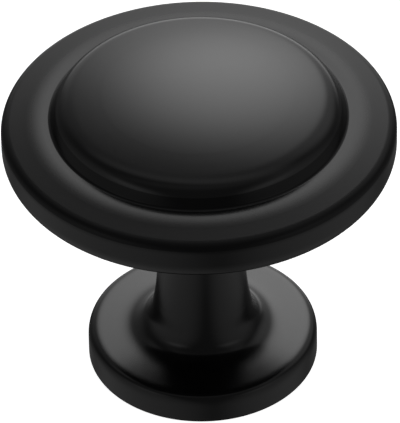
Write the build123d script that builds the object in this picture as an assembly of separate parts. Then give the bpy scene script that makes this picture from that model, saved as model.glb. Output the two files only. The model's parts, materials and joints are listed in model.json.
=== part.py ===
from build123d import *
import math
import os

# A round cabinet knob, cast and machined in one piece: a flat foot, a waisted neck and a disc head
# whose face carries a domed centre inside a sloping ring. A tapped blind hole in the foot takes the
# fixing screw.
# Millimetres and degrees. The knob's axis is Z, the foot's seating face lies at z = 0 and the face
# that is seen on the drawer front looks up +Z. Heights are measured from the seating face.

# Foot
foot_diameter = 19.0
foot_edge_height = 2.58
foot_top_slope = 3.0
foot_edge_radius = 0.85

# Neck: one large arc, narrowest at the waist, blended into the foot and into the head
neck_diameter = 7.3
neck_waist_height = 9.5
neck_arc_radius = 24.0
neck_to_foot_radius = 1.9
neck_to_head_radius = 4.0

# Head and its rim
head_diameter = 32.0
head_underside_height = 20.67
head_underside_slope = 8.0
rim_height = 3.45
rim_lower_radius = 1.7
rim_upper_radius = 0.9

# Ring on the face: a bevel from the rim, then a flatter land that meets the dome
ring_bevel_width = 2.7
ring_bevel_slope = 10.4
ring_bend_radius = 7.0
ring_land_width = 1.3
ring_land_slope = 2.5

# Dome in the middle of the face: a steep wall, a soft shoulder and a shallow crown
dome_foot_radius = 0.3
dome_wall_slope = 63.0
dome_shoulder_radius = 2.0
dome_crown_radius = 47.0
dome_rise = 2.95

# Tapped hole for an M4 screw, drawn at the thread's major diameter
thread_diameter = 4.0
screw_hole_depth = 12.0
screw_hole_mouth_chamfer = 0.5
drill_point_angle = 118.0


def run_to_circle(start, slope, circle_centre, circle_radius):
    """The point where a line that leaves start towards the axis, rising by slope degrees, leaves a circle."""
    direction = Vector(-math.cos(math.radians(slope)), math.sin(math.radians(slope)))
    to_centre = circle_centre - start
    along = to_centre.dot(direction)
    off_line_squared = to_centre.dot(to_centre) - along**2
    return start + direction * (along + math.sqrt(circle_radius**2 - off_line_squared))


def climb(width, slope):
    """The height that a slope gains over a horizontal width."""
    return width * math.tan(math.radians(slope))


# Corners of the half section, as (distance from the axis, height), before they are rounded
head_radius = head_diameter / 2
foot_bottom = Vector(foot_diameter / 2, 0)
foot_top = Vector(foot_diameter / 2, foot_edge_height)

neck_waist = Vector(neck_diameter / 2, neck_waist_height)
neck_arc_centre = neck_waist + Vector(neck_arc_radius, 0)
neck_bottom = run_to_circle(foot_top, foot_top_slope, neck_arc_centre, neck_arc_radius)

rim_bottom = Vector(head_radius, head_underside_height)
rim_top = rim_bottom + Vector(0, rim_height)
neck_top = run_to_circle(rim_bottom, -head_underside_slope, neck_arc_centre, neck_arc_radius)

ring_bend = rim_top + Vector(-ring_bevel_width, climb(ring_bevel_width, ring_bevel_slope))
dome_foot = ring_bend + Vector(-ring_land_width, climb(ring_land_width, ring_land_slope))
dome_apex = Vector(0, dome_foot.Y + dome_rise)
crown_centre = dome_apex - Vector(0, dome_crown_radius)
dome_shoulder = run_to_circle(dome_foot, dome_wall_slope, crown_centre, dome_crown_radius)

thread_radius = thread_diameter / 2
drill_point_height = thread_radius / math.tan(math.radians(drill_point_angle / 2))
hole_tip = Vector(0, screw_hole_depth + drill_point_height)
hole_end = Vector(thread_radius, screw_hole_depth)
hole_mouth_inner = Vector(thread_radius, screw_hole_mouth_chamfer)
hole_mouth_outer = Vector(thread_radius + screw_hole_mouth_chamfer, 0)

# Half section
outline = Curve() + [
    Polyline(
        dome_apex, hole_tip, hole_end, hole_mouth_inner, hole_mouth_outer,
        foot_bottom, foot_top, neck_bottom,
    ),
    ThreePointArc(neck_bottom, neck_waist, neck_top),
    Polyline(neck_top, rim_bottom, rim_top, ring_bend, dome_foot, dome_shoulder),
    TangentArc(dome_apex, dome_shoulder, tangent=(1, 0)),
]
section = make_face(outline)

rounded_corners = [
    (foot_top, foot_edge_radius),
    (neck_bottom, neck_to_foot_radius),
    (neck_top, neck_to_head_radius),
    (rim_bottom, rim_lower_radius),
    (rim_top, rim_upper_radius),
    (ring_bend, ring_bend_radius),
    (dome_foot, dome_foot_radius),
    (dome_shoulder, dome_shoulder_radius),
]
for corner, radius in rounded_corners:
    nearest_vertex = section.vertices().sort_by_distance(corner)[0]
    section = fillet(nearest_vertex, radius)

# Turned body
knob = revolve(Plane.XZ * section, Axis.Z)
knob.label = "knob"

os.makedirs("parts", exist_ok=True)
export_step(knob, "parts/knob.step")
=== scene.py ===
import json
import math

import bpy
import numpy as np
from bpy.props import FloatProperty, FloatVectorProperty, IntProperty, PointerProperty
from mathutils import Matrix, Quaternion, Vector


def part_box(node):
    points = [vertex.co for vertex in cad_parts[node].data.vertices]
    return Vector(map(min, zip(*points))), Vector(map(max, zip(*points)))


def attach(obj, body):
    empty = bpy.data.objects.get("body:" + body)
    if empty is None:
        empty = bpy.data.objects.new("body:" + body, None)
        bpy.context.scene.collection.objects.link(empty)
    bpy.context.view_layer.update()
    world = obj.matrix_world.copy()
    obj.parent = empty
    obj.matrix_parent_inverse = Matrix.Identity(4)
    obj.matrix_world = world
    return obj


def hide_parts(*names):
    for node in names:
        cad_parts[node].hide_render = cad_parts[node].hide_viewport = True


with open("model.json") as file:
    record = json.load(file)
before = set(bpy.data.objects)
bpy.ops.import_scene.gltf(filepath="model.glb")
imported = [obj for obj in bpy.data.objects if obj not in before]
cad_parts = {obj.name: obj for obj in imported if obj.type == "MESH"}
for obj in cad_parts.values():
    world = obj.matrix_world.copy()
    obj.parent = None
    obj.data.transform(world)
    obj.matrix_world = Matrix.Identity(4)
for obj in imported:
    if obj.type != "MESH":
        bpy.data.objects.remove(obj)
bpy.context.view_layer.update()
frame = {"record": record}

bl_info = {
    "name": "Round Cabinet Knob",
    "version": (1, 0, 0),
    "blender": (4, 5, 0),
    "location": "View3D > Sidebar > Knob",
    "description": "A knob in black lacquer, with a domed face and a tapped foot, on a white studio floor",
    "category": "Add Mesh",
}

# Lengths are in metres, and MM turns millimetres into them
MM = 0.001
CAD_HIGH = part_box("knob")[1]
SCREW_HOLE = next(mount for mount in frame["record"]["mounts"] if mount["name"] == "screw_hole")
LAMP_DISTANCE = 1.0
FLOOR_HALF_WIDTH = 3.0

# Material slots of the casting
SATIN, MATT, BARE_METAL = range(3)


# Values that a user would change

def length(name, description, millimetres):
    """A length property, with its default given in millimetres."""
    return FloatProperty(
        name=name, description=description, default=millimetres * MM, min=0.0, precision=5,
        unit="LENGTH", subtype="DISTANCE",
    )


def angle(name, description, degrees):
    """An angle property, with its default given in degrees."""
    return FloatProperty(
        name=name, description=description, default=math.radians(degrees), unit="ROTATION", subtype="ANGLE",
    )


def linear_from_hex(hex_colour):
    """An sRGB hex colour as linear red, green and blue, by the sRGB curve."""
    coded = np.array([int(hex_colour[i:i + 2], 16) for i in (1, 3, 5)]) / 255
    linear = np.where(coded <= 0.04045, coded / 12.92, ((coded + 0.055) / 1.055) ** 2.4)
    return tuple(linear.tolist())


def colour(name, description, hex_colour):
    """A colour property, with its default given as an sRGB hex value."""
    return FloatVectorProperty(
        name=name, description=description, default=linear_from_hex(hex_colour), size=3, min=0.0, max=1.0,
        subtype="COLOR",
    )


def share(name, description, default):
    """A property from 0 to 1."""
    return FloatProperty(
        name=name, description=description, default=default, min=0.0, max=1.0, subtype="FACTOR",
    )


class KnobSizes(bpy.types.PropertyGroup):
    """Sizes of the turned section, heights above the seating face, and the thread in the foot."""

    knob_height: length("Height", "From the seating face to the top of the dome", CAD_HIGH.z / MM)
    head_diameter: length("Head diameter", "Across the rim", 2 * CAD_HIGH.x / MM)

    dome_rise: length("Dome rise", "Height of the dome above the crease round its foot", 3.0)
    dome_crown_radius: length("Dome crown radius", "Radius of the dome's shallow crown", 47.0)
    dome_shoulder_radius: length("Dome shoulder radius", "Rounding of crown and wall, under the film", 1.8)
    dome_wall_slope: angle("Dome wall slope", "Steepness of the dome's wall", 63.0)
    dome_foot_radius: length("Dome foot radius", "Hollow where the dome's wall meets the ring", 0.3)

    ring_land_width: length("Ring land width", "Width of the flatter land beside the dome", 1.3)
    ring_land_slope: angle("Ring land slope", "Fall of the land towards the rim", 0.3)
    ring_bend_radius: length("Ring bend radius", "Rounding between the land and the bevel", 7.0)
    ring_bevel_width: length("Ring bevel width", "Width of the bevel beside the rim", 2.7)
    ring_bevel_slope: angle("Ring bevel slope", "Fall of the bevel towards the rim", 10.4)

    matt_band_climb: length("Matt band climb", "How far the matt finish runs up the dome's wall", 0.2)
    matt_band_fall: length("Matt band fall", "How far the matt finish runs down the rim's rounded edge", 0.5)

    rim_height: length("Rim height", "Height of the head's side wall before its edges are rounded", 3.45)
    rim_upper_radius: length("Rim upper radius", "Rounding of the rim's upper edge", 0.9)
    rim_lower_radius: length("Rim lower radius", "Rounding of the rim's lower edge", 1.7)
    head_underside_slope: angle("Underside slope", "Fall of the head's underside towards the neck", 8.0)

    neck_diameter: length("Neck diameter", "Across the narrowest place of the neck", 7.3)
    neck_waist_height: length("Waist height", "Height of the narrowest place", 9.5)
    neck_arc_radius: length("Neck arc radius", "Radius of the neck's long hollow", 24.0)
    neck_to_head_radius: length("Neck to head radius", "Hollow between the neck and the head", 4.0)
    neck_to_foot_radius: length("Neck to foot radius", "Hollow between the neck and the foot", 1.9)

    foot_diameter: length("Foot diameter", "Across the foot", 19.0)
    foot_edge_height: length("Foot edge height", "Height of the foot's side before its edge is rounded", 2.58)
    foot_top_slope: angle("Foot top slope", "Rise of the foot's top towards the neck", 3.0)
    foot_edge_radius: length("Foot edge radius", "Rounding of the foot's upper edge, under the film", 0.6)
    foot_lower_edge_radius: length("Foot lower edge radius", "Break of the edge on the drawer", 0.03)

    # Stretches of the section that the lacquer film evens out
    dome_film_reach: length("Dome film reach", "How far the film evens out the dome's shoulder", 0.8)
    dome_film_start: length("Dome film start", "Radius on the crown where that begins", 7.5)
    dome_film_end: length("Dome film end", "Height on the dome's wall where that ends", 0.25)
    hollow_film_reach: length("Hollow film reach", "How far the film evens out the hollow by the foot", 1.6)
    hollow_film_start: length("Hollow film start", "Height on the neck where that begins", 6.5)
    hollow_film_end: length("Hollow film end", "Radius on the foot's top where that ends", 7.4)
    edge_film_reach: length("Edge film reach", "How far the film evens out the foot's upper edge", 0.8)
    edge_film_end: length("Edge film end", "Height on the foot's side where that ends", 0.6)

    thread_diameter: length("Thread diameter", "Major diameter of the thread", 2 * SCREW_HOLE["dims"]["r_mm"])
    thread_pitch: length("Thread pitch", "From one turn of the thread to the next", 0.7)
    thread_run_out: length("Thread run-out", "Height over which the thread fades into the drilled wall", 1.4)
    hole_depth: length("Hole depth", "Depth of the drilled wall", 12.0)
    hole_mouth_chamfer: length("Mouth chamfer", "Countersink at the mouth of the hole", 0.5)
    hole_mouth_edge_radius: length("Mouth edge radius", "Rounding of the countersink's edge", 0.06)
    drill_point_angle: angle("Drill point angle", "Full angle of the drill's point", 118.0)

    columns: IntProperty(name="Columns", description="Faces round the knob", default=192, min=24)
    rows_per_pitch: IntProperty(
        name="Rows per pitch", description="Faces along one turn of the thread", default=12,
    )


class KnobFinish(bpy.types.PropertyGroup):
    """Colours and gloss of the lacquer, the bare metal and the floor."""

    lacquer_colour: colour("Lacquer", "Pigment of the black lacquer", "#0c0c0d")
    satin_roughness: share("Satin roughness", "How far the satin finish spreads a reflection", 0.2)
    satin_reflection: share("Satin reflection", "Strength of the satin finish's reflection", 0.5)
    matt_roughness: share("Matt roughness", "How far the ring's finish spreads a reflection", 0.32)
    crease_roughness: share("Crease roughness", "How far the film in the crease spreads a reflection", 0.19)
    matt_reflection: share("Matt reflection", "Strength of the ring's reflection", 0.26)
    zinc_colour: colour("Bare zinc", "Zinc alloy where the tap has cut it", "#b4b6b8")
    floor_colour: colour("Floor", "White board that the knob stands on", "#fbfbfb")


class KnobStudio(bpy.types.PropertyGroup):
    """Camera and light."""

    camera_elevation: angle("Camera elevation", "Height of the camera above the horizon", 39.8)
    camera_roll: angle("Camera roll", "Turn of the camera about its own line of sight", -1.1)
    camera_distance: length("Camera distance", "From the camera to the point that it looks at", 478.0)
    camera_lens: FloatProperty(name="Lens", description="Focal length", default=498.0, unit="CAMERA")
    aim_height: length("Aim height", "Height of the point that the camera looks at", 14.53)
    aim_left: length("Aim to the left", "How far left of the knob's axis the camera looks", 0.04)
    ambient: share("Ambient light", "Brightness of the light that comes evenly from everywhere", 0.085)


# Turned section: arcs joined by straight runs

def outward(normal):
    """Outward unit normals, as (distance from the axis, height), at these angles above the horizon."""
    return np.stack((np.cos(normal), np.sin(normal)), axis=-1)


def round_corner(corner, radius, normal_before, normal_after):
    """The arc that rounds a corner of two straight runs, as (centre, radius, first normal, last normal).

    The centre lies the radius under both runs: corner - radius (a + b) / (1 + a.b), with a and b the runs'
    outward normals. A hollow has a negative radius, which puts its centre outside the metal.
    """
    before = outward(normal_before)
    after = outward(normal_after)
    centre = corner - radius * (before + after) / (1 + before @ after)
    return centre, radius, normal_before, normal_after


def blend_with_arc(run_point, run_normal, radius, arc_centre, arc_radius):
    """Centre of an arc tangent to a straight run and to a larger arc, and the normal where the arcs meet.

    The centre is where the run, shifted by the radius and followed towards the axis, leaves the circle about
    the larger arc's centre whose radius is the difference of the two. Hollows have negative radii.
    """
    normal = outward(run_normal)
    towards_axis = np.array((-normal[1], normal[0])) * np.sign(normal[1])
    shifted = run_point - radius * normal
    to_centre = arc_centre - shifted
    along = to_centre @ towards_axis
    off_line_squared = to_centre @ to_centre - along**2
    centre = shifted + towards_axis * (along + math.sqrt((arc_radius - radius) ** 2 - off_line_squared))
    meeting = (centre - arc_centre) / (arc_radius - radius)
    return centre, math.atan2(meeting[1], meeting[0])


def ring_corners(sizes):
    """Corners of the ring before they are rounded: at the dome's foot, at the bend and at the rim."""
    ring_width = sizes.ring_land_width + sizes.ring_bevel_width
    dome_foot = np.array((sizes.head_diameter / 2 - ring_width, sizes.knob_height - sizes.dome_rise))
    ring_bend = dome_foot + sizes.ring_land_width * np.array((1, -math.tan(sizes.ring_land_slope)))
    rim_top = ring_bend + sizes.ring_bevel_width * np.array((1, -math.tan(sizes.ring_bevel_slope)))
    return dome_foot, ring_bend, rim_top


def section_arcs(sizes):
    """The outline from the top of the dome to the mouth of the screw hole, as a chain of arcs.

    A straight run joins the end of each arc to the start of the next, and both have the same normal there.
    """
    up = math.pi / 2
    level = 0.0
    down = -up
    dome_wall = up - sizes.dome_wall_slope
    land = up - sizes.ring_land_slope
    bevel = up - sizes.ring_bevel_slope
    underside = sizes.head_underside_slope - up
    foot_top = up - sizes.foot_top_slope
    countersink = down - math.radians(45)

    dome_apex = np.array((0.0, sizes.knob_height))
    dome_foot, ring_bend, rim_top = ring_corners(sizes)
    rim_bottom = rim_top - np.array((0, sizes.rim_height))
    foot_edge = np.array((sizes.foot_diameter / 2, sizes.foot_edge_height))
    foot_base = np.array((sizes.foot_diameter / 2, 0))
    hole_mouth = np.array((sizes.thread_diameter / 2 + sizes.hole_mouth_chamfer, 0))

    crown_centre = dome_apex - np.array((0, sizes.dome_crown_radius))
    neck_centre = np.array((sizes.neck_diameter / 2 + sizes.neck_arc_radius, sizes.neck_waist_height))
    shoulder_centre, shoulder_start = blend_with_arc(
        dome_foot, dome_wall, sizes.dome_shoulder_radius, crown_centre, sizes.dome_crown_radius
    )
    neck_head_centre, neck_top = blend_with_arc(
        rim_bottom, underside, -sizes.neck_to_head_radius, neck_centre, -sizes.neck_arc_radius
    )
    neck_foot_centre, neck_bottom = blend_with_arc(
        foot_edge, foot_top, -sizes.neck_to_foot_radius, neck_centre, -sizes.neck_arc_radius
    )
    return [
        (crown_centre, sizes.dome_crown_radius, up, shoulder_start),
        (shoulder_centre, sizes.dome_shoulder_radius, shoulder_start, dome_wall),
        round_corner(dome_foot, -sizes.dome_foot_radius, dome_wall, land),
        round_corner(ring_bend, sizes.ring_bend_radius, land, bevel),
        round_corner(rim_top, sizes.rim_upper_radius, bevel, level),
        round_corner(rim_bottom, sizes.rim_lower_radius, level, underside),
        (neck_head_centre, -sizes.neck_to_head_radius, underside, neck_top),
        (neck_centre, -sizes.neck_arc_radius, neck_top, neck_bottom),
        (neck_foot_centre, -sizes.neck_to_foot_radius, neck_bottom, foot_top),
        round_corner(foot_edge, sizes.foot_edge_radius, foot_top, level),
        round_corner(foot_base, sizes.foot_lower_edge_radius, level, down),
        round_corner(hole_mouth, sizes.hole_mouth_edge_radius, down, countersink),
    ]


def outline_rows(arcs, fewest_steps=4, turn_step=math.radians(6), longest_row=0.9 * MM, end_row=0.04 * MM):
    """Points along the outline, as (distance from the axis, height).

    An arc's points are its centre plus its radius times the outward normal, at equal turns. A straight run
    has points at equal steps, and one close to each of its ends, so that smooth shading leaves it flat.
    """
    shortest_run = 4 * end_row
    rows = []
    for centre, radius, first, last in arcs:
        turn = abs(last - first)
        steps = max(fewest_steps, math.ceil(turn / turn_step), math.ceil(turn * abs(radius) / longest_row))
        arc = centre + radius * outward(np.linspace(first, last, steps + 1))
        if rows:
            run = arc[0] - rows[-1][-1]
            run_length = math.hypot(*run)
            if run_length > shortest_run:
                run_steps = math.ceil(run_length / longest_row)
                along = np.linspace(end_row / run_length, 1 - end_row / run_length, run_steps + 1)
                rows.append(rows[-1][-1] + along[:, None] * run)
            else:
                arc = arc[1:]
        rows.append(arc)
    return np.concatenate(rows)


def softened(points, reach, step=0.12 * MM):
    """A line of points as the lacquer film evens it out, in even steps, each at the mean of its surroundings.

    The mean has a raised-cosine weight, 1 + cos(pi d / reach) at a distance d along the line, so each sudden
    change of curvature spreads over about the reach. Past its ends the line is taken to run straight on.
    """
    along = np.concatenate(((0,), np.cumsum(np.hypot(*np.diff(points, axis=0).T))))
    steps = math.ceil(along[-1] / step)
    even = np.linspace(0, along[-1], steps + 1)
    line = np.stack([np.interp(even, along, column) for column in points.T], axis=-1)
    side = round(reach / step)
    ahead = np.arange(1, side + 1)[:, None]
    before = line[0] + ahead[::-1] * (line[0] - line[1])
    after = line[-1] + ahead * (line[-1] - line[-2])
    longer = np.concatenate((before, line, after))
    distance = step * np.arange(-side, side + 1)
    weight = 1 + np.cos(np.pi * distance / reach)
    weight = weight / weight.sum()
    return np.stack([np.convolve(column, weight, mode="valid") for column in longer.T], axis=-1)


def lacquered_rows(sizes):
    """The outline's points, evened out by the film on the dome's shoulder, above the foot and on its edge."""
    rows = outline_rows(section_arcs(sizes))
    radius, height = rows.T
    place = np.arange(len(rows))
    widest = np.argmax(radius)
    wall_end = ring_corners(sizes)[0][1] + sizes.dome_film_end
    on_dome = (place < widest) & (radius > sizes.dome_film_start) & (height > wall_end)
    on_foot = (place > widest) & (height < sizes.hollow_film_start) & (height > sizes.edge_film_end)
    dome_first, dome_last = np.flatnonzero(on_dome)[[0, -1]]
    foot_first, foot_last = np.flatnonzero(on_foot)[[0, -1]]
    hollow_last = foot_first + np.argmax(radius[foot_first:] > sizes.hollow_film_end)
    shoulder = softened(rows[dome_first:dome_last + 1], sizes.dome_film_reach)
    hollow = softened(rows[foot_first:hollow_last + 1], sizes.hollow_film_reach)
    edge = softened(rows[hollow_last:foot_last + 1], sizes.edge_film_reach)
    return np.concatenate((
        rows[:dome_first],
        shoulder,
        rows[dome_last + 1:foot_first],
        hollow,
        edge[1:],
        rows[foot_last + 1:],
    ))


def thread_ridge(phase):
    """How far the thread's ridge stands into the bore, as a share of its height, along the pitch.

    A trapezoid: a crest a quarter of the pitch wide, two flanks of 5/16, and a root an eighth wide.
    """
    half_crest = 1 / 8
    flank = 5 / 16
    from_crest = np.abs(phase - np.floor(phase) - 1 / 2)
    return np.clip((half_crest + flank - from_crest) / flank, 0, 1)


def hole_radius(sizes, turn, height):
    """Radius of the tapped hole at a turn about the axis, in radians, and a height above the seating face.

    The wall is a right-hand thread: root radius less the ridge, whose phase is height / pitch - turn / (2 pi)
    and whose height is 5/8 of a sharp 60-degree ridge. Towards the end of the hole the root runs out into
    the drilled wall. The countersink widens the mouth by a 45-degree cone, and the drill's point closes the
    end by another cone.
    """
    root = sizes.thread_diameter / 2
    sharp_ridge = sizes.thread_pitch * math.cos(math.radians(30))
    ridge_height = 5 / 8 * sharp_ridge
    drilled = root - ridge_height
    cut_depth = ridge_height * np.clip((sizes.hole_depth - height) / sizes.thread_run_out, 0, 1)
    ridge = thread_ridge(height / sizes.thread_pitch - turn / (2 * math.pi))
    wall = drilled + cut_depth * (1 - ridge)
    countersink = root + sizes.hole_mouth_chamfer - height
    drill_point = (hole_tip(sizes) - height) * math.tan(sizes.drill_point_angle / 2)
    return np.minimum(np.maximum(wall, countersink), drill_point)


def hole_tip(sizes):
    """Height of the tip of the drill's point."""
    return sizes.hole_depth + sizes.thread_diameter / 2 / math.tan(sizes.drill_point_angle / 2)


def knob_surface(sizes):
    """The knob's whole skin: a grid of points, the two poles that close it, and its number of outer rows.

    A point is (radius cos turn, radius sin turn, height). Outer rows are circles through the outline's
    points. The rows that follow climb the tapped hole, where the radius also depends on the turn. The ends
    close on the axis, at the dome's apex and the drill's tip.
    """
    turns = np.linspace(0, 2 * math.pi, sizes.columns, endpoint=False)
    outline = lacquered_rows(sizes)[1:]
    tip = hole_tip(sizes)
    row_height = sizes.thread_pitch / sizes.rows_per_pitch
    clear_of_tip = row_height / 4
    heights = np.arange(outline[-1][1] + row_height, tip - clear_of_tip, row_height)
    hole = hole_radius(sizes, turns[None, :], heights[:, None])
    radius = np.concatenate((np.repeat(outline[:, :1], sizes.columns, axis=1), hole))
    height = np.concatenate((outline[:, 1], heights))[:, None]
    grid = np.stack((radius * np.cos(turns), radius * np.sin(turns), height + 0 * radius), axis=-1)
    return grid, (0, 0, sizes.knob_height), (0, 0, tip), len(outline)


def closed_mesh(name, grid, first_pole, last_pole):
    """A mesh of a grid that is closed round its columns, with a fan of triangles to a pole at each end."""
    rows, columns = grid.shape[:2]
    points = np.concatenate((grid.reshape(-1, 3), [first_pole, last_pole]))
    index = np.arange(rows * columns).reshape(rows, columns)
    beside = np.roll(index, -1, axis=1)
    quads = np.stack((index[:-1], index[1:], beside[1:], beside[:-1]), axis=-1).reshape(-1, 4)
    first_fan = np.stack((np.full(columns, rows * columns), index[0], beside[0]), axis=-1)
    last_fan = np.stack((np.full(columns, rows * columns + 1), beside[-1], index[-1]), axis=-1)
    mesh = bpy.data.meshes.new(name)
    mesh.from_pydata(points.tolist(), [], quads.tolist() + first_fan.tolist() + last_fan.tolist())
    mesh.shade_smooth()
    return mesh


# Materials

# Their patterns: widths, lengths and heights in millimetres, the rest as shares and roughness
PIGMENT_CLOUD_WIDTH = 6.0
PIGMENT_SPREAD = 0.2
POWDER_PATCH_WIDTH = 0.5
POWDER_SPREAD = 0.02
FILM_RIPPLE_WIDTH = 1.2
FILM_RIPPLE_HEIGHT = 0.01
FILM_RIPPLE_STRENGTH = 0.05
TAP_SCRATCH_LENGTH = 0.6
TAP_SCRATCHES_PER_LENGTH = 8.0
TAP_SCRATCH_SHADE = 0.8
TAP_SMOOTHEST = 0.25
TAP_ROUGHEST = 0.45


def add_node(tree, kind, inputs=None, **settings):
    """Adds a node with its settings, and gives each named input a value or a link from a node's socket."""
    node = tree.nodes.new(kind)
    for name, value in settings.items():
        setattr(node, name, value)
    for name, value in (inputs or {}).items():
        if isinstance(value, bpy.types.NodeSocket):
            tree.links.new(value, node.inputs[name])
        else:
            node.inputs[name].default_value = value
    return node


def new_material(name):
    """A material, its node tree and the tree's output, still unlinked."""
    material = bpy.data.materials.new(name)
    material.use_nodes = True
    tree = material.node_tree
    tree.nodes.clear()
    output = add_node(tree, "ShaderNodeOutputMaterial")
    return material, tree, output


def per_metre(millimetres):
    """Scale of a noise texture on Object coordinates whose cells are this wide."""
    return 1 / (millimetres * MM)


def black_lacquer(name, finish, roughness, reflection, pool=None):
    """Black lacquer, sprayed and baked on.

    The black body gives back almost nothing, so what the eye sees is the room mirrored in the clear binder,
    with edges that the matting powder softens. The film flowed out before it set: its ripple is about a
    millimetre wide and under a micrometre high. The powder's grains are too fine to show, so its uneven
    spread is drawn as patches half a millimetre wide. Where a pool is given, as (roughness, inner radius,
    outer radius), the film gathered there and set smoother: the roughness rises from the pool's own at the
    inner radius to the dry film's at the outer one.
    """
    material, tree, output = new_material(name)
    place = add_node(tree, "ShaderNodeTexCoord").outputs["Object"]
    clouds = add_node(tree, "ShaderNodeTexNoise", {
        "Vector": place, "Scale": per_metre(PIGMENT_CLOUD_WIDTH), "Detail": 3.0,
    })
    pigment = add_node(tree, "ShaderNodeValToRGB", {"Fac": clouds.outputs["Fac"]})
    body = np.array(finish.lacquer_colour)
    pigment.color_ramp.elements[0].color = (*((1 - PIGMENT_SPREAD) * body), 1)
    pigment.color_ramp.elements[1].color = (*((1 + PIGMENT_SPREAD) * body), 1)
    powder = add_node(tree, "ShaderNodeTexNoise", {
        "Vector": place, "Scale": per_metre(POWDER_PATCH_WIDTH), "Detail": 4.0,
    })
    gloss = add_node(tree, "ShaderNodeMapRange", {
        "Value": powder.outputs["Fac"],
        "To Min": roughness - POWDER_SPREAD,
        "To Max": roughness + POWDER_SPREAD,
    }).outputs["Result"]
    if pool:
        pool_roughness, inner_radius, outer_radius = pool
        level = add_node(tree, "ShaderNodeVectorMath", {0: place, 1: (1.0, 1.0, 0.0)}, operation="MULTIPLY")
        from_axis = add_node(tree, "ShaderNodeVectorMath", {0: level.outputs["Vector"]}, operation="LENGTH")
        smoothing = add_node(tree, "ShaderNodeMapRange", {
            "Value": from_axis.outputs["Value"],
            "From Min": inner_radius,
            "From Max": outer_radius,
            "To Min": pool_roughness - roughness,
            "To Max": 0.0,
        }, interpolation_type="SMOOTHSTEP").outputs["Result"]
        gloss = add_node(tree, "ShaderNodeMath", {0: gloss, 1: smoothing}, operation="ADD").outputs["Value"]
    ripple = add_node(tree, "ShaderNodeTexNoise", {
        "Vector": place, "Scale": per_metre(FILM_RIPPLE_WIDTH), "Detail": 1.0,
    })
    film = add_node(tree, "ShaderNodeBump", {
        "Height": ripple.outputs["Fac"],
        "Strength": FILM_RIPPLE_STRENGTH,
        "Distance": FILM_RIPPLE_HEIGHT * MM,
    })
    shader = add_node(tree, "ShaderNodeBsdfPrincipled", {
        "Base Color": pigment.outputs["Color"],
        "Roughness": gloss,
        "Normal": film.outputs["Normal"],
        "IOR": 1.5,
        "Specular IOR Level": reflection,
    })
    tree.links.new(shader.outputs["BSDF"], output.inputs["Surface"])
    return material


def tapped_zinc(finish):
    """Die-cast zinc alloy, cut bright by a tap.

    A pale bluish-grey metal. The tap's teeth leave scratches round the hole. They are too fine to show, so
    they are drawn coarser, as cells that are short along the axis.
    """
    material, tree, output = new_material("Die-cast zinc alloy cut by a tap")
    place = add_node(tree, "ShaderNodeTexCoord").outputs["Object"]
    shortened = add_node(tree, "ShaderNodeMapping", {
        "Vector": place, "Scale": (1.0, 1.0, TAP_SCRATCHES_PER_LENGTH),
    })
    scratches = add_node(tree, "ShaderNodeTexNoise", {
        "Vector": shortened.outputs["Vector"], "Scale": per_metre(TAP_SCRATCH_LENGTH), "Detail": 5.0,
    })
    gloss = add_node(tree, "ShaderNodeMapRange", {
        "Value": scratches.outputs["Fac"], "To Min": TAP_SMOOTHEST, "To Max": TAP_ROUGHEST,
    })
    tone = add_node(tree, "ShaderNodeValToRGB", {"Fac": scratches.outputs["Fac"]})
    metal = np.array(finish.zinc_colour)
    tone.color_ramp.elements[0].color = (*(TAP_SCRATCH_SHADE * metal), 1)
    tone.color_ramp.elements[1].color = (*metal, 1)
    shader = add_node(tree, "ShaderNodeBsdfPrincipled", {
        "Base Color": tone.outputs["Color"],
        "Metallic": 1.0,
        "Roughness": gloss.outputs["Result"],
    })
    tree.links.new(shader.outputs["BSDF"], output.inputs["Surface"])
    return material


def white_board(finish):
    """Matt white painted board: the pale floor.

    The eye sees an even white with no shadow on it, because the board glows by itself.
    """
    material, tree, output = new_material("Matt white painted board")
    shader = add_node(tree, "ShaderNodeBsdfPrincipled", {
        "Base Color": (*finish.floor_colour, 1),
        "Roughness": 0.9,
        "Emission Color": (*finish.floor_colour, 1),
        "Emission Strength": 1.0,
    })
    tree.links.new(shader.outputs["BSDF"], output.inputs["Surface"])
    return material


# Operators

def link_object(name, data):
    """A new object at the origin, unturned and unscaled, in the scene."""
    made = bpy.data.objects.new(name, data)
    bpy.context.scene.collection.objects.link(made)
    return made


def casting_materials(sizes, finish):
    """The casting's materials, in the order of their slots."""
    dome_foot, ring_bend, rim_top = ring_corners(sizes)
    crease_pool = finish.crease_roughness, dome_foot[0], (ring_bend[0] + rim_top[0]) / 2
    satin = black_lacquer(
        "Satin black lacquer sprayed and baked", finish, finish.satin_roughness, finish.satin_reflection,
    )
    matt = black_lacquer(
        "Matt black lacquer sprayed and baked", finish, finish.matt_roughness, finish.matt_reflection,
        crease_pool,
    )
    return satin, matt, tapped_zinc(finish)


def face_slots(sizes, grid, outer_rows):
    """Each face's material slot: matt on the ring, bare metal in the hole and satin elsewhere.

    A row of quads takes the slot of the later of its two rows of points. The two fans of triangles come last.
    """
    dome_foot, _, rim_top = ring_corners(sizes)
    band_highest = dome_foot[1] + sizes.matt_band_climb
    band_lowest = rim_top[1] - sizes.matt_band_fall
    height = grid[:, 0, 2]
    outside = np.arange(len(height)) < outer_rows
    on_ring = outside & (height < band_highest) & (height > band_lowest)
    row_slots = np.where(outside, np.where(on_ring, MATT, SATIN), BARE_METAL)
    quads = np.repeat(row_slots[1:], sizes.columns)
    fans = np.repeat((SATIN, BARE_METAL), sizes.columns)
    return np.concatenate((quads, fans)).astype(np.int32)


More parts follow.
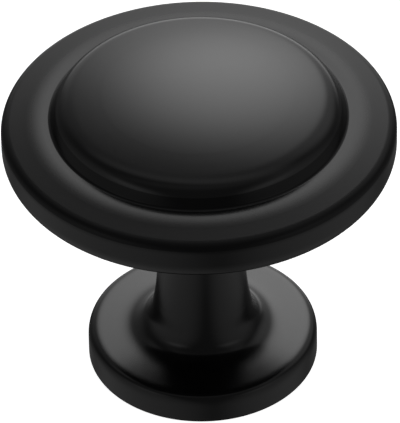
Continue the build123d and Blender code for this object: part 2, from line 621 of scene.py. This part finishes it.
class KNOB_OT_casting(bpy.types.Operator):
    """Build the lacquered casting, with the thread in its foot"""

    bl_idname = "knob.casting"
    bl_label = "Lacquered casting"

    def execute(self, context):
        sizes = context.scene.knob_sizes
        finish = context.scene.knob_finish
        grid, apex, tip, outer_rows = knob_surface(sizes)
        mesh = closed_mesh("knob_casting", grid, apex, tip)
        for material in casting_materials(sizes, finish):
            mesh.materials.append(material)
        mesh.polygons.foreach_set("material_index", face_slots(sizes, grid, outer_rows))
        casting = link_object("knob_casting", mesh)
        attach(casting, "root")
        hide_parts("knob")
        return {"FINISHED"}


def soft_box(name, azimuth, elevation, half_width, half_height, radiance):
    """A cloth-fronted lamp that faces the knob, brightest in its middle and fading smoothly to its oval edge.

    Angles are in degrees, as the knob sees them. Azimuth is 0 behind the knob, seen from the camera, and 90
    at its right. The lamp's watts are its radiance times pi times its area.
    """
    lamp = bpy.data.lights.new(name, "AREA")
    lamp.shape = "ELLIPSE"
    lamp.size = 2 * LAMP_DISTANCE * math.tan(math.radians(half_width))
    lamp.size_y = 2 * LAMP_DISTANCE * math.tan(math.radians(half_height))
    area = math.pi / 4 * lamp.size * lamp.size_y
    lamp.energy = radiance * math.pi * area
    lamp.use_nodes = True
    tree = lamp.node_tree
    across = add_node(tree, "ShaderNodeNewGeometry").outputs["Parametric"]
    half = 0.5
    middle = (half, half, 0.0)
    from_middle = add_node(tree, "ShaderNodeVectorMath", {0: across, 1: middle}, operation="DISTANCE")
    fade = add_node(tree, "ShaderNodeMapRange", {
        "Value": from_middle.outputs["Value"],
        "From Min": 0.0,
        "From Max": half,
        "To Min": 1.0,
        "To Max": 0.0,
    }, interpolation_type="SMOOTHERSTEP")
    tree.links.new(fade.outputs["Result"], tree.nodes["Emission"].inputs["Strength"])
    place = link_object(name, lamp)
    turn = math.radians(azimuth)
    climb = math.radians(elevation)
    direction = Vector((math.sin(turn) * math.cos(climb), math.cos(turn) * math.cos(climb), math.sin(climb)))
    place.location = direction * LAMP_DISTANCE
    place.rotation_mode = "QUATERNION"
    place.rotation_quaternion = direction.to_track_quat("Z", "Y")
    place.visible_camera = False
    return place


def studio_air(ambient):
    """The studio round the set: white behind the knob, and a faint even light from everywhere on it."""
    world = bpy.data.worlds.new("Studio")
    world.use_nodes = True
    tree = world.node_tree
    tree.nodes.clear()
    backdrop = add_node(tree, "ShaderNodeBackground", {"Color": (1, 1, 1, 1), "Strength": 1.0})
    stray_light = add_node(tree, "ShaderNodeBackground", {"Color": (1, 1, 1, 1), "Strength": ambient})
    seen = add_node(tree, "ShaderNodeLightPath").outputs["Is Camera Ray"]
    both = add_node(tree, "ShaderNodeMixShader", {
        "Fac": seen, 1: stray_light.outputs["Background"], 2: backdrop.outputs["Background"],
    })
    output = add_node(tree, "ShaderNodeOutputWorld")
    tree.links.new(both.outputs["Shader"], output.inputs["Surface"])
    return world


def light_studio():
    """A large lamp behind the knob, dimmer ones round it and at the sides, and a faint one in front."""
    soft_box("main_box", azimuth=5, elevation=38.5, half_width=23.5, half_height=29, radiance=2.5)
    soft_box("low_box", azimuth=3, elevation=13, half_width=42, half_height=34, radiance=0.7)
    soft_box("horizon_box", azimuth=6, elevation=-1, half_width=44, half_height=11, radiance=0.85)
    soft_box("right_box", azimuth=45, elevation=39, half_width=35, half_height=37, radiance=0.43)
    soft_box("left_box", azimuth=-25, elevation=30, half_width=37, half_height=44, radiance=0.15)
    soft_box("left_wall", azimuth=-116, elevation=-26, half_width=65, half_height=70, radiance=0.2)
    soft_box("right_wall", azimuth=112, elevation=-17, half_width=57, half_height=70, radiance=0.21)
    soft_box("overhead", azimuth=17, elevation=83, half_width=60, half_height=23, radiance=0.28)
    soft_box("left_strip", azimuth=-128, elevation=24, half_width=32, half_height=10, radiance=0.28)
    soft_box("right_strip", azimuth=128, elevation=24, half_width=32, half_height=10, radiance=0.24)
    soft_box("front_fill", azimuth=180, elevation=68, half_width=62, half_height=20, radiance=0.08)


def lay_floor(finish):
    """A white board that only the camera sees: the lacquer doesn't mirror it, and light passes through it."""
    corners = [(x, y, 0) for x, y in ((-1, -1), (1, -1), (1, 1), (-1, 1))]
    mesh = bpy.data.meshes.new("studio_floor")
    mesh.from_pydata((FLOOR_HALF_WIDTH * np.array(corners)).tolist(), [], [(0, 1, 2, 3)])
    mesh.materials.append(white_board(finish))
    floor = link_object("studio_floor", mesh)
    floor.visible_glossy = False
    floor.visible_diffuse = False
    floor.visible_shadow = False


def photo_camera(studio):
    """A camera with a long lens in front of the knob, which looks down on it."""
    lens = bpy.data.cameras.new("photo_camera")
    lens.lens = studio.camera_lens
    lens.clip_start = 10 * MM
    camera = link_object("photo_camera", lens)
    aim = Vector((-studio.aim_left, 0, studio.aim_height))
    back = Vector((0, -math.cos(studio.camera_elevation), math.sin(studio.camera_elevation)))
    camera.location = aim + back * studio.camera_distance
    camera.rotation_mode = "QUATERNION"
    roll = Quaternion((0, 0, 1), studio.camera_roll)
    camera.rotation_quaternion = (-back).to_track_quat("-Z", "Y") @ roll
    return camera


class KNOB_OT_stage(bpy.types.Operator):
    """Lay the floor, light the studio and set the camera"""

    bl_idname = "knob.stage"
    bl_label = "Stage, light and camera"

    def execute(self, context):
        studio = context.scene.knob_studio
        lay_floor(context.scene.knob_finish)
        light_studio()
        context.scene.world = studio_air(studio.ambient)
        context.scene.camera = photo_camera(studio)
        context.scene.view_settings.view_transform = "Standard"
        return {"FINISHED"}


class KNOB_PT_panel(bpy.types.Panel):
    """Lists the knob's operators and values"""

    bl_idname = "KNOB_PT_panel"
    bl_label = "Round Cabinet Knob"
    bl_space_type = "VIEW_3D"
    bl_region_type = "UI"
    bl_category = "Knob"

    def draw(self, context):
        for operator in OPERATORS:
            self.layout.operator(operator.bl_idname)
        for name in VALUE_GROUPS:
            box = self.layout.box()
            group = getattr(context.scene, name)
            for value in group.__annotations__:
                box.prop(group, value)


OPERATORS = (KNOB_OT_casting, KNOB_OT_stage)
VALUE_GROUPS = {"knob_sizes": KnobSizes, "knob_finish": KnobFinish, "knob_studio": KnobStudio}
CLASSES = (*VALUE_GROUPS.values(), *OPERATORS, KNOB_PT_panel)


def register():
    """Adds the classes, and the groups of values to each scene."""
    for cls in CLASSES:
        bpy.utils.register_class(cls)
    for name, group in VALUE_GROUPS.items():
        setattr(bpy.types.Scene, name, PointerProperty(type=group))


def unregister():
    """Takes away what register added."""
    for name in VALUE_GROUPS:
        delattr(bpy.types.Scene, name)
    for cls in reversed(CLASSES):
        bpy.utils.unregister_class(cls)


def main():
    """Builds the knob and its stage."""
    register()
    bpy.ops.knob.casting()
    bpy.ops.knob.stage()


if __name__ == "__main__":
    main()
